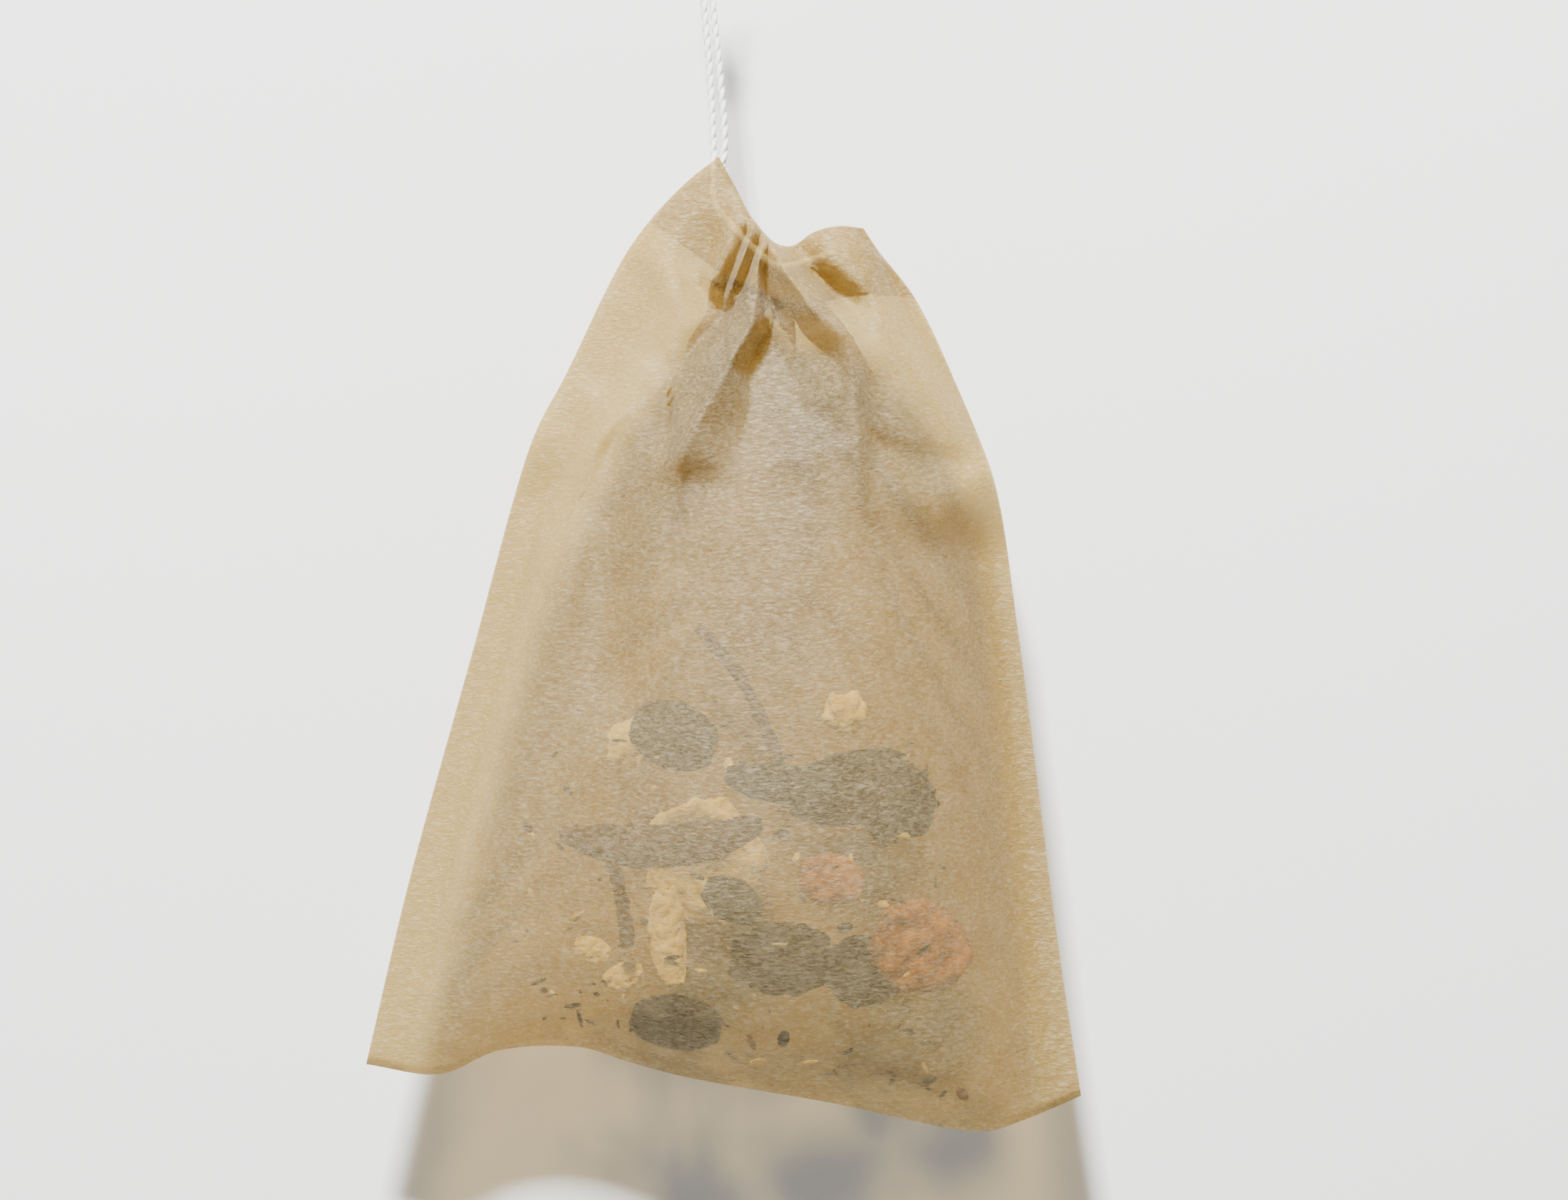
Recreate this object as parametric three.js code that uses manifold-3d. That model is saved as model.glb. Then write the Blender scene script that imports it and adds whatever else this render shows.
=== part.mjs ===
// Drawstring tea filter bag, filled and drawn closed, hanging from its string.
// One sheet of filter paper is folded at the bottom, sealed up both sides and turned in at the
// mouth as a hem. A cotton string runs round inside the hem and leaves it at the left corner.
// Millimetres, +Z up, the front of the bag towards -Y. The origin is the knot it hangs from.
import * as THREE from 'three';
import { LoftGeometry } from 'three/addons/geometries/LoftGeometry.js';
import { mergeVertices } from 'three/addons/utils/BufferGeometryUtils.js';
import Module from 'manifold-3d';

const wasm = await Module();
wasm.setup();

// The bag as it is sold, laid flat
const FLAT_WIDTH = 70;
const FLAT_HEIGHT = 90;
const HEM_DEPTH = 9;
const SEAM_WIDTH = 4.2;
const SHEET = 0.22;

// The filled bag: how far each panel stands out from the plane of the side seams
const FRONT_BULGE = 12.1;
const BACK_BULGE = 8.8;

// The gather at the mouth
const PLEATS = 6;
const PLEAT_DEPTH = 1.3;
const HEM_END_OPEN = 0.8;
const MOUTH_GAP = 0.8;
const GATHER_FROM = 0.11;
const GATHER_TO = 0.87;

// The cotton string, twisted from two yarns
const STRING_DIAMETER = 0.7;
const STRING_CLEARANCE = 0.3;
const STRAND_LENGTH = 18.9;
const STRAND_LEAN = 0.084;
const STRAND_PITCH = 0.8;
const STRING_BELOW_EDGE = 3.2;
const STRING_STEPS = 72;
const KNOT_LENGTH = 2.6;
const TAIL_LENGTH = 3.6;

// The dried tea inside
const REST_GAP = 0.32;

const PAPER = { color: 0xd9c898, roughness: 0.85, metalness: 0 };
const LEAF = { color: 0x4c4630, roughness: 0.9, metalness: 0 };
const BERRY = { color: 0x3a2a20, roughness: 0.7, metalness: 0 };
const PETAL = { color: 0xe0cf95, roughness: 0.9, metalness: 0 };
const PEEL = { color: 0xb4702c, roughness: 0.8, metalness: 0 };
const STALK = { color: 0x6b5a3c, roughness: 0.9, metalness: 0 };
const COTTON = { color: 0xf4f3ef, roughness: 0.9, metalness: 0 };

const HEM_LINE = 1 - HEM_DEPTH / FLAT_HEIGHT;
const STRING_ROOM = STRING_DIAMETER + 2 * STRING_CLEARANCE;
const CHANNEL = STRING_ROOM + 0.2;
const MOUTH_HALF = MOUTH_GAP / 2;
const FLAP_BACK = MOUTH_HALF + SHEET;
const STRING_OUT = FLAP_BACK + CHANNEL / 2;
const NECK_DEPTH = FLAP_BACK + CHANNEL;

// Where the string leaves the bag: the top of the left seam
const CORNER = new THREE.Vector2(STRAND_LENGTH * STRAND_LEAN, -STRAND_LENGTH);

const clamp = THREE.MathUtils.clamp;
const lerp = THREE.MathUtils.lerp;

function ease(from, to, x) {
  return THREE.MathUtils.smoothstep(x, from, to);
}

// A value read off a short table of [place, value] pairs, eased between them.
function along(table, x) {
  const k = table.findIndex(([place]) => place >= x);
  if (k < 0) return table[table.length - 1][1];
  if (k === 0) return table[0][1];
  const [a, va] = table[k - 1];
  const [b, vb] = table[k];
  return lerp(va, vb, ease(a, b, x));
}

// An outline of the hanging bag, as shares of its flat width and height from the string's corner.
function outline(shares) {
  const points = shares.map(([x, z]) =>
    new THREE.Vector3(CORNER.x + x * FLAT_WIDTH, 0, CORNER.y + z * FLAT_HEIGHT));
  return new THREE.CatmullRomCurve3(points, false, 'centripetal');
}

const LEFT_SEAM = outline([
  [-0.463, -0.919], [-0.409, -0.74], [-0.327, -0.509], [-0.246, -0.288],
  [-0.204, -0.224], [-0.119, -0.093], [-0.053, -0.033], [0, 0],
]);
const RIGHT_SEAM = outline([
  [0.466, -0.951], [0.437, -0.803], [0.386, -0.493], [0.354, -0.336],
  [0.299, -0.224], [0.249, -0.144], [0.203, -0.098], [0.18, -0.071],
]);
const BOTTOM_FOLD = outline([
  [-0.463, -0.919], [-0.367, -0.929], [-0.29, -0.905], [-0.184, -0.902], [-0.124, -0.916],
  [-0.053, -0.931], [0.141, -0.958], [0.34, -0.987], [0.386, -0.977], [0.466, -0.951],
]);
const MOUTH_EDGE = outline([
  [0, 0], [0.02, -0.03], [0.037, -0.058], [0.05, -0.072], [0.072, -0.089], [0.093, -0.089],
  [0.115, -0.077], [0.147, -0.07], [0.18, -0.071],
]);

// How far along the mouth edge each part of the sheet ends up once the string is drawn:
// the corners stay flat and all the width between them is crowded into the gather.
const CROWDING = [[0, 0], [GATHER_FROM, 0.36], [GATHER_TO, 0.6], [1, 1]];

function crowded(s) {
  const k = Math.max(1, CROWDING.findIndex(([place]) => place >= s));
  const [a, va] = CROWDING[k - 1];
  const [b, vb] = CROWDING[k];
  return lerp(va, vb, (s - a) / (b - a));
}

// The share of the gathering that is felt at a height on the bag.
function gathering(v) {
  return ease(0.5, 1, v) ** 1.3;
}

// The place of a point of the sheet seen from the front: s runs from the left seam to the
// right one, and v from the bottom fold to the mouth.
function seenAt(s, v) {
  const left = LEFT_SEAM.getPointAt(v);
  const right = RIGHT_SEAM.getPointAt(v);
  const spread = left.clone().lerp(right, s);
  const low = BOTTOM_FOLD.getPointAt(s);
  const lowChord = LEFT_SEAM.getPointAt(0).lerp(RIGHT_SEAM.getPointAt(0), s);
  spread.addScaledVector(low.sub(lowChord), (1 - v) ** 3);
  const t = crowded(s);
  const drawn = left.clone().lerp(right, t);
  const mouthChord = LEFT_SEAM.getPointAt(1).lerp(RIGHT_SEAM.getPointAt(1), t);
  drawn.addScaledVector(MOUTH_EDGE.getPointAt(t).sub(mouthChord), ease(0.6, 1, v));
  return spread.lerp(drawn, gathering(v));
}

// Creases of the front and back panels, where they show: from and to are shares of the flat
// size from the string's corner, rise is out of the panel, and reach is how far each side slopes.
const FRONT_CREASES = [
  // the long ridge beside the left seam, and the hollow next to it
  { from: [-0.383, -0.87], to: [-0.174, -0.32], rise: 2.4, reach: 4 },
  { from: [-0.15, -0.31], to: [-0.11, -0.54], rise: -2.4, reach: 4.5 },
  // the left lobe below the gather, and the step behind it
  { from: [0.05, -0.139], to: [-0.054, -0.31], rise: 4.8, reach: 4 },
  { from: [-0.054, -0.31], to: [0.015, -0.39], rise: 1.4, reach: 3 },
  { from: [-0.063, -0.137], to: [-0.06, -0.305], rise: -2.6, reach: 2.6 },
  // the hollow in the middle
  { from: [0.054, -0.161], to: [0.064, -0.248], rise: -4.5, reach: 3.6 },
  { from: [0.064, -0.248], to: [0.017, -0.349], rise: -1.6, reach: 4 },
  // the right lobe, down to where it dies out
  { from: [0.069, -0.103], to: [0.166, -0.188], rise: 4.6, reach: 3.6 },
  { from: [0.166, -0.188], to: [0.177, -0.313], rise: 3.8, reach: 3.8 },
  { from: [0.177, -0.313], to: [0.186, -0.357], rise: 1, reach: 3 },
  // the pocket under the right corner
  { from: [0.11, -0.126], to: [0.189, -0.204], rise: -2.4, reach: 2.6 },
  // the crease across to the right shoulder and the dent under it
  { from: [0.177, -0.273], to: [0.343, -0.293], rise: 1.5, reach: 3 },
  { from: [0.264, -0.384], to: [0.343, -0.3], rise: 0.9, reach: 3 },
  // the bottom corners, nipped where the filling ends
  { from: [-0.37, -0.86], to: [-0.36, -0.93], rise: 1.2, reach: 3 },
  { from: [0.34, -0.98], to: [0.25, -0.9], rise: 1, reach: 3 },
];
const BACK_CREASES = [
  { from: [-0.36, -0.86], to: [-0.15, -0.3], rise: 1.8, reach: 4.5 },
  { from: [0.03, -0.15], to: [-0.07, -0.36], rise: 4.4, reach: 4.5 },
  { from: [0.06, -0.15], to: [0.04, -0.42], rise: -3.6, reach: 4 },
  { from: [0.09, -0.13], to: [0.15, -0.36], rise: 4.2, reach: 4.5 },
  { from: [0.14, -0.14], to: [0.27, -0.36], rise: 1.6, reach: 4 },
  { from: [-0.05, -0.45], to: [0.2, -0.5], rise: 1, reach: 5 },
];

function creased(creases, place) {
  let rise = 0;
  for (const c of creases) {
    const a = new THREE.Vector2(c.from[0] * FLAT_WIDTH, c.from[1] * FLAT_HEIGHT).add(CORNER);
    const b = new THREE.Vector2(c.to[0] * FLAT_WIDTH, c.to[1] * FLAT_HEIGHT).add(CORNER);
    const run = b.clone().sub(a);
    const p = new THREE.Vector2(place.x, place.z);
    const t = clamp(p.clone().sub(a).dot(run) / run.lengthSq(), 0, 1);
    const away = p.distanceTo(a.addScaledVector(run, t));
    rise += c.rise * Math.max(0, 1 - away / c.reach) ** 1.2;
  }
  return rise;
}

// How full the bag is at each height, as a share of its bulge, and across its width.
const FULLNESS = [
  [0, 0], [0.03, 0.34], [0.08, 0.66], [0.2, 0.97], [0.3, 1], [0.45, 0.9], [0.6, 0.66],
  [0.75, 0.48], [0.9, 0.4], [1, 0.3],
];
const ACROSS = [[0, 0], [0.06, 0.24], [0.22, 0.66], [0.5, 1], [0.72, 0.94], [0.9, 0.5], [1, 0]];

// The seal runs up to the hem; in the hem the sides are left open for the string to pass.
function seamAt(v) {
  return lerp(SEAM_WIDTH, 1.1, ease(HEM_LINE - 0.03, HEM_LINE + 0.03, v)) / FLAT_WIDTH;
}

// The pleats of the gather, as a zigzag from 0 to 1 across the crowded part of the sheet.
function pleat(s) {
  const turn = clamp((s - GATHER_FROM) / (GATHER_TO - GATHER_FROM), 0, 1) * PLEATS;
  return 1 - Math.abs(2 * (turn % 1) - 1);
}

// How far the inside face of a panel stands from the plane of the side seams.
function insideDepth(s, v, creases, bulge) {
  const seam = seamAt(v);
  const w = clamp((s - seam) / (1 - 2 * seam), 0, 1);
  const edge = ease(0, 0.08, Math.min(w, 1 - w));
  const body = bulge * along(FULLNESS, v) * along(ACROSS, w) + creased(creases, seenAt(s, v)) * edge;
  const fold = 2 * PLEAT_DEPTH * pleat(s) * ease(0.7, HEM_LINE, v) ** 1.4;
  const free = Math.max(0, body + fold);
  const openEnd = HEM_END_OPEN * ease(HEM_LINE, 1, v);
  const neck = NECK_DEPTH * lerp(edge, 1, openEnd) + 2 * PLEAT_DEPTH * pleat(s);
  const inHem = ease(HEM_LINE - 0.07, HEM_LINE + 0.02, v);
  const drawn = Math.max(free * (1 - inHem), neck);
  return lerp(free, drawn, inHem) * ease(0, 0.02, v);
}

// A steep fold needs more room from face to face than the sheet is thick.
function sheetDepth(s, v) {
  const steep = inGather(s) * ease(HEM_LINE - 0.07, HEM_LINE + 0.02, v);
  return SHEET * (1 + 2.2 * steep);
}

function inGather(s) {
  return s > GATHER_FROM && s < GATHER_TO ? 1 : 0;
}

const PANELS = [
  { side: -1, creases: FRONT_CREASES, bulge: FRONT_BULGE },
  { side: 1, creases: BACK_CREASES, bulge: BACK_BULGE },
];

// Stations across a panel: close at the seams, four to each pleat between.
const STATIONS = [0, 0.02, 0.06];
for (let k = 0; k <= 4 * PLEATS; k++) {
  STATIONS.push(lerp(GATHER_FROM, GATHER_TO, k / (4 * PLEATS)));
}
STATIONS.push(0.94, 0.98, 1);

// One closed section of the bag at a height. place gives a point from s and the panel.
function section(place) {
  const front = STATIONS.map((s) => place(s, PANELS[0]));
  const back = STATIONS.map((s) => place(s, PANELS[1])).reverse();
  return [...front, ...back];
}

function outsideOf(v) {
  return section((s, panel) => {
    const p = seenAt(s, v);
    const thick = sheetDepth(s, v) * ease(0, 0.004, v);
    p.y = panel.side * (insideDepth(s, v, panel.creases, panel.bulge) + thick);
    return p;
  });
}

// The open part of the sheet between the seams: a station moved in from the edge.
function between(share, margin) {
  if (share < GATHER_FROM) return lerp(margin, GATHER_FROM, share / GATHER_FROM);
  if (share > GATHER_TO) {
    return lerp(GATHER_TO, 1 - margin, (share - GATHER_TO) / (1 - GATHER_TO));
  }
  return share;
}

function insideOf(v) {
  return section((share, panel) => {
    const s = between(share, seamAt(v));
    const p = seenAt(s, v);
    const open = share === 0 || share === 1 || v < BOTTOM_SEAL ? 0 : 1;
    p.y = panel.side * open * insideDepth(s, v, panel.creases, panel.bulge);
    return p;
  });
}

// The turned-in hem: it lies behind the string, close to the middle of the mouth.
function turnedIn(v, depth, inset) {
  return section((share, panel) => {
    const p = seenAt(between(share, seamAt(v) + inset / FLAT_WIDTH), v);
    p.y = panel.side * depth;
    return p;
  });
}

const WALL_ROWS = [
  0, 0.008, 0.03, 0.07, 0.12, 0.18, 0.25, 0.32, 0.39, 0.45, 0.51, 0.56, 0.605, 0.645, 0.68,
  0.715, 0.75, 0.785, 0.82, 0.85, 0.88, 0.91, 0.94, 0.97, 1,
];
const FLAP_ROWS = [1, 0.965, 0.93, HEM_LINE];
const TOP_FOLD = SHEET / FLAT_HEIGHT;
const BOTTOM_SEAL = 0.007;
const FLAP_INSET = 2.4;

// Merges the points where the loft folds flat, and drops the faces that closed up.
function sealed(geometry) {
  geometry.deleteAttribute('uv');
  geometry.deleteAttribute('normal');
  const merged = mergeVertices(geometry.index ? geometry.toNonIndexed() : geometry, 1e-4);
  const kept = [];
  const index = merged.index.array;
  for (let k = 0; k < index.length; k += 3) {
    const [a, b, c] = [index[k], index[k + 1], index[k + 2]];
    if (a !== b && b !== c && c !== a) kept.push(a, b, c);
  }
  merged.setIndex(kept);
  return merged;
}

function solid(geometry) {
  const g = sealed(geometry);
  return new wasm.Manifold(new wasm.Mesh({
    numProp: 3,
    vertProperties: new Float32Array(g.attributes.position.array),
    triVerts: new Uint32Array(g.index.array),
  }));
}

function geometryOf(made) {
  const m = made.getMesh();
  const points = new Float32Array(m.numVert * 3);
  for (let k = 0; k < m.numVert; k++) {
    points.set(m.vertProperties.subarray(k * m.numProp, k * m.numProp + 3), k * 3);
  }
  return new THREE.BufferGeometry()
    .setAttribute('position', new THREE.BufferAttribute(points, 3))
    .setIndex(new THREE.BufferAttribute(new Uint32Array(m.triVerts), 1));
}

// A round section swept along a curve. The profile is a regular polygon of the given diameter.
function swept(curve, diameter, steps, sides = 8) {
  const round = new THREE.Shape();
  for (let k = 0; k < sides; k++) {
    const turn = (k / sides) * 2 * Math.PI;
    const [x, y] = [Math.cos(turn) * diameter / 2, Math.sin(turn) * diameter / 2];
    if (k === 0) round.moveTo(x, y);
    else round.lineTo(x, y);
  }
  round.closePath();
  return new THREE.ExtrudeGeometry(round, { steps, extrudePath: curve, curveSegments: 1 });
}

// The string's route: down from the knot, in at the left corner, along the front hem, round the
// right corner, back along the other hem and up to the knot again.
function stringRoute() {
  const share = 1 - STRING_BELOW_EDGE / FLAT_HEIGHT;
  const inHem = (s, side, out = STRING_OUT) => {
    const p = seenAt(s, share);
    p.y = side * out;
    return p;
  };
  const under = -KNOT_LENGTH / 2 - STRING_CLEARANCE;
  const hanging = (share, side) => new THREE.Vector3(
    CORNER.x * share + side * STRAND_PITCH / 2, 0, lerp(under, CORNER.y, share));
  const strand = (side) => [
    hanging(0, side),
    hanging(0.2, side),
    hanging(0.6, side * 1.1),
    new THREE.Vector3(CORNER.x - 0.3 + side * 0.5, side * 0.2, CORNER.y + 0.4),
    inHem(0.05, side, STRING_ROOM * 0.4),
    inHem(0.1, side, STRING_OUT * 0.8),
  ];
  const run = [0.15, 0.35, 0.65, 0.85];
  const turn = seenAt(0.945, share);
  return new THREE.CatmullRomCurve3([
    ...strand(-1), ...run.map((s) => inHem(s, -1)),
    turn,
    ...run.reverse().map((s) => inHem(s, 1)), ...strand(1).reverse(),
  ], false, 'centripetal');
}

const route = stringRoute();

// The string's way in along the front hem, and its way out along the back one.
function halves(curve) {
  const turn = (curve.points.length - 1) / 2;
  return [curve.points.slice(0, turn + 3), curve.points.slice(turn - 2)].map((points) =>
    new THREE.CatmullRomCurve3(points, false, 'centripetal'));
}

function filterBag() {
  const sections = [
    ...WALL_ROWS.map(outsideOf),
    ...FLAP_ROWS.map((v) => turnedIn(v, MOUTH_HALF, FLAP_INSET)),
    ...[...FLAP_ROWS].reverse().map((v) =>
      turnedIn(Math.min(v, 1 - TOP_FOLD), FLAP_BACK, FLAP_INSET - SHEET)),
    ...[...WALL_ROWS].reverse().filter((v) => v > 0).map((v) =>
      insideOf(Math.min(v, 1 - TOP_FOLD))),
    insideOf(BOTTOM_SEAL * 0.9),
  ];
  const sheet = solid(new LoftGeometry(sections));
  return halves(route).reduce((cut, half) =>
    cut.subtract(solid(swept(half, STRING_ROOM, STRING_STEPS * 2))), sheet);
}

// The overhand knot that joins the two strands, with the cut ends left standing above it.
class Overhand extends THREE.Curve {
  getPoint(share, target = new THREE.Vector3()) {
    const t = share * 2 * Math.PI;
    const reach = KNOT_LENGTH / 6.5;
    return target.set(
      reach * (Math.sin(t) + 2 * Math.sin(2 * t)),
      STRING_DIAMETER * -0.68 * Math.sin(3 * t),
      reach * (Math.cos(t) - 2 * Math.cos(2 * t)),
    );
  }
}

function stringKnot() {
  const turns = new THREE.TubeGeometry(new Overhand(), 40, STRING_DIAMETER / 2, 6, true);
  const tail = (side) => swept(new THREE.CatmullRomCurve3([
    new THREE.Vector3(side * 0.3, side * 0.2, KNOT_LENGTH * 0.3),
    new THREE.Vector3(side * 0.7, side * 0.3, KNOT_LENGTH * 0.3 + TAIL_LENGTH * 0.6),
    new THREE.Vector3(side * 1.6, 0, KNOT_LENGTH * 0.3 + TAIL_LENGTH),
  ]), STRING_DIAMETER, 4, 6);
  return solid(turns).add(solid(tail(-1))).add(solid(tail(1)));
}

// A berry, bud or flower head: a ball drawn out to its sizes, with petals or wrinkles round it.
function rounded([length, depth, height], lobes, swell) {
  const ball = new THREE.SphereGeometry(0.5, 16, 8).rotateX(Math.PI / 2);
  const p = ball.attributes.position;
  for (let k = 0; k < p.count; k++) {
    const turn = Math.atan2(p.getZ(k), p.getX(k));
    const ring = 1 - (2 * p.getY(k)) ** 2;
    const out = 1 - swell * ring * (0.5 - 0.5 * Math.cos(lobes * turn));
    p.setXYZ(k, p.getX(k) * out * length, p.getY(k) * depth, p.getZ(k) * out * height);
  }
  return ball;
}

// A piece of leaf, petal or peel: a thin plate, narrower at its ends, curled across its width
// and bowed along its length.
function curled([length, thickness, width], curl, bow) {
  const plate = new THREE.BoxGeometry(length, thickness, width, 8, 1, 3);
  const p = plate.attributes.position;
  for (let k = 0; k < p.count; k++) {
    const end = (2 * p.getX(k)) / length;
    const side = (2 * p.getZ(k)) / width;
    const narrow = Math.sqrt(1 - 0.86 * end ** 2);
    p.setXYZ(k, p.getX(k), p.getY(k) + curl * side ** 2 * narrow,
      p.getZ(k) * narrow + bow * (end ** 2 - 0.5));
  }
  return plate;
}

function twig([length, thickness], bow) {
  const bend = new THREE.QuadraticBezierCurve3(
    new THREE.Vector3(-length / 2, 0, 0),
    new THREE.Vector3(0, 0, 2 * bow),
    new THREE.Vector3(length / 2, 0, 0),
  );
  return swept(bend, thickness, 8, 7);
}

// Sets a piece of the filling in the bag. s and v are its place on the panels, deep is 0 where it
// leans on the front panel and 1 on the back one, turn is its angle as seen from the front, and
// swing brings one end nearer the front.
function lying(geometry, { s, v, deep, turn = 0, swing = 0 }) {
  geometry.rotateY((turn * Math.PI) / 180);
  geometry.rotateZ((swing * Math.PI) / 180);
  geometry.computeBoundingBox();
  const half = (geometry.boundingBox.max.y - geometry.boundingBox.min.y) / 2;
  const front = insideDepth(s, v, FRONT_CREASES, FRONT_BULGE) - REST_GAP - half;
  const back = insideDepth(s, v, BACK_CREASES, BACK_BULGE) - REST_GAP - half;
  const at = seenAt(s, v);
  return geometry.translate(at.x, lerp(-front, back, deep), at.z);
}

function piece(name, geometry, finish) {
  const mesh = new THREE.Mesh(geometry, new THREE.MeshStandardMaterial(finish));
  mesh.name = name;
  return mesh;
}

const FILLING = [
  // against the front panel
  ['leaf_piece_1', curled([8.2, 0.6, 6.4], 0.9, 0), LEAF, { s: 0.38, v: 0.36, deep: 0.17, turn: 20 }],
  ['leaf_piece_2', curled([11, 0.6, 3.6], 0.7, 0.6), LEAF, { s: 0.57, v: 0.33, deep: 0.03, turn: 4 }],
  ['berry_1', rounded([9.2, 5, 8.4], 7, 0.12), BERRY, { s: 0.75, v: 0.325, deep: 0.2 }],
  ['flower_bud_1', rounded([5, 4, 4.8], 5, 0.2), PETAL, { s: 0.67, v: 0.41, deep: 0.02, turn: 15 }],
  ['bark_strip', curled([19, 1.1, 4.2], 0.7, 1.6), STALK,
    { s: 0.38, v: 0.25, deep: 0.13, turn: -3, swing: -11 }],
  ['stalk_1', twig([8, 1.7], 0.4), STALK, { s: 0.33, v: 0.17, deep: 0.08, turn: 80 }],
  ['leaf_piece_3', curled([5.8, 0.6, 4.2], 0.6, 0), LEAF, { s: 0.5, v: 0.2, deep: 0.04, turn: 30 }],
  ['petal_1', curled([9.2, 0.5, 3.6], 0.7, 0.4), PETAL, { s: 0.41, v: 0.15, deep: 0.1, turn: 85 }],
  ['petal_2', curled([3.6, 0.5, 2.4], 0.4, 0), PETAL, { s: 0.3, v: 0.115, deep: 0.04, turn: 20 }],
  ['petal_3', curled([3.8, 0.5, 2.4], 0.4, 0), PETAL, { s: 0.35, v: 0.095, deep: 0.1, turn: -15 }],
  ['berry_2', rounded([11.4, 5.5, 7.6], 9, 0.14), BERRY, { s: 0.58, v: 0.145, deep: 0.08 }],
  ['peel_1', curled([6, 1.3, 5], 0.6, 0), PEEL, { s: 0.65, v: 0.235, deep: 0.02, turn: 10 }],
  ['peel_2', curled([9.4, 1.4, 8.8], 1.1, 0), PEEL,
    { s: 0.79, v: 0.18, deep: 0.06, turn: 25, swing: 14 }],
  ['leaf_piece_4', curled([8.6, 0.6, 5.2], 0.7, 0), LEAF, { s: 0.43, v: 0.058, deep: 0.2, turn: 8 }],
  // against the back panel
  ['flower_head', rounded([13, 4.6, 13], 11, 0.2), PETAL, { s: 0.45, v: 0.23, deep: 0.92 }],
  ['leaf_piece_5', curled([12, 0.6, 7], 0.8, 0.4), LEAF, { s: 0.68, v: 0.33, deep: 0.84, turn: -15 }],
  ['berry_3', rounded([9, 4.6, 7.4], 7, 0.13), BERRY, { s: 0.7, v: 0.14, deep: 0.93 }],
  ['flower_bud_2', rounded([6, 4, 5.6], 5, 0.2), PETAL, { s: 0.31, v: 0.34, deep: 0.95 }],
  ['stalk_2', twig([15, 1.6], 1), STALK, { s: 0.48, v: 0.41, deep: 0.93, turn: 60 }],
];

const bag = new THREE.Group();
bag.add(piece('filter_paper_bag', geometryOf(filterBag()), PAPER));
bag.add(piece('drawstring', swept(route, STRING_DIAMETER, STRING_STEPS), COTTON));
bag.add(piece('string_knot', geometryOf(stringKnot()), COTTON));
for (const [name, geometry, finish, place] of FILLING) {
  bag.add(piece(name, lying(geometry, place), finish));
}

export default bag;
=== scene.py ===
# A filled drawstring tea filter bag, hanging from its string in front of a pale backdrop.
# Metres, +Z up, the front of the bag towards -Y, the origin at the knot it hangs from.
import math

import bmesh
import bpy
import numpy as np
from mathutils import Matrix, Vector, noise
from mathutils.geometry import delaunay_2d_cdt


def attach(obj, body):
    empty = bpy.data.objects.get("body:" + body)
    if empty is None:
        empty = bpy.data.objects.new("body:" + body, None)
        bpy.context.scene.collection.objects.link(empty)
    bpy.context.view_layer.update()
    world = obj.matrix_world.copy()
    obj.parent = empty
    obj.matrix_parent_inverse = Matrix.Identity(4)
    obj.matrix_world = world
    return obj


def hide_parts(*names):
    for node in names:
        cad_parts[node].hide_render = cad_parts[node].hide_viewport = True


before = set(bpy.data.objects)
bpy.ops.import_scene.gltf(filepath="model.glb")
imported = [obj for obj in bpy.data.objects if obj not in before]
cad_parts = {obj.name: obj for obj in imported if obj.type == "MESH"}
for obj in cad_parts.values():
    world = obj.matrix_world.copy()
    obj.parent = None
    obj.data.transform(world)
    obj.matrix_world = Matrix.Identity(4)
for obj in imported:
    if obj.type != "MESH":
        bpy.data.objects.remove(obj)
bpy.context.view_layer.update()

MM = 0.001

# The view of the photograph: level, straight at the front of the bag, from about 0.6 m.
VIEW_DISTANCE = 600 * MM
VIEW_CENTRE = Vector((7.2, 0, -59.4)) * MM
VIEW_WIDTH = 142.6 * MM

lens = bpy.data.cameras.new("photo_view")
lens.sensor_width = 36
lens.lens = lens.sensor_width * VIEW_DISTANCE / VIEW_WIDTH
camera = bpy.data.objects.new("photo_view", lens)
camera.location = VIEW_CENTRE - Vector((0, VIEW_DISTANCE, 0))
camera.rotation_euler = (math.radians(90), 0, 0)
bpy.context.collection.objects.link(camera)
bpy.context.scene.camera = camera


# The drawstring is one loop of white cotton, two yarns twisted together, threaded through the
# hem of the bag. Both strands leave at the left corner and run up to the knot.
STRING_DIAMETER = 0.7
TWIST_PITCH = 2.3
# The two yarns side by side: the string's waist between them as a share of its width.
YARN_WAIST = 0.6
SECTION_SIDES = 12
# The route from knot to knot, as (across, back, up) in millimetres.
STRING_ROUTE = [
    (-0.4, 0.0, -1.6), (-0.1, 0.0, -5.1), (0.5, 0.0, -12.0), (0.8, -0.2, -18.5),
    (1.0, -0.5, -23.4), (3.0, -1.1, -26.0), (3.6, -1.4, -26.7), (4.6, -1.4, -27.6),
    (6.2, -1.4, -28.9), (7.6, -1.4, -29.1), (12.2, 0.0, -27.6), (7.6, 1.4, -29.1),
    (6.2, 1.4, -28.9), (4.6, 1.4, -27.6), (3.6, 1.4, -26.7), (3.0, 1.1, -26.0),
    (1.0, 0.5, -23.4), (1.8, 0.2, -18.5), (1.4, 0.0, -12.0), (0.7, 0.0, -5.1),
    (0.4, 0.0, -1.6),
]


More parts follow.
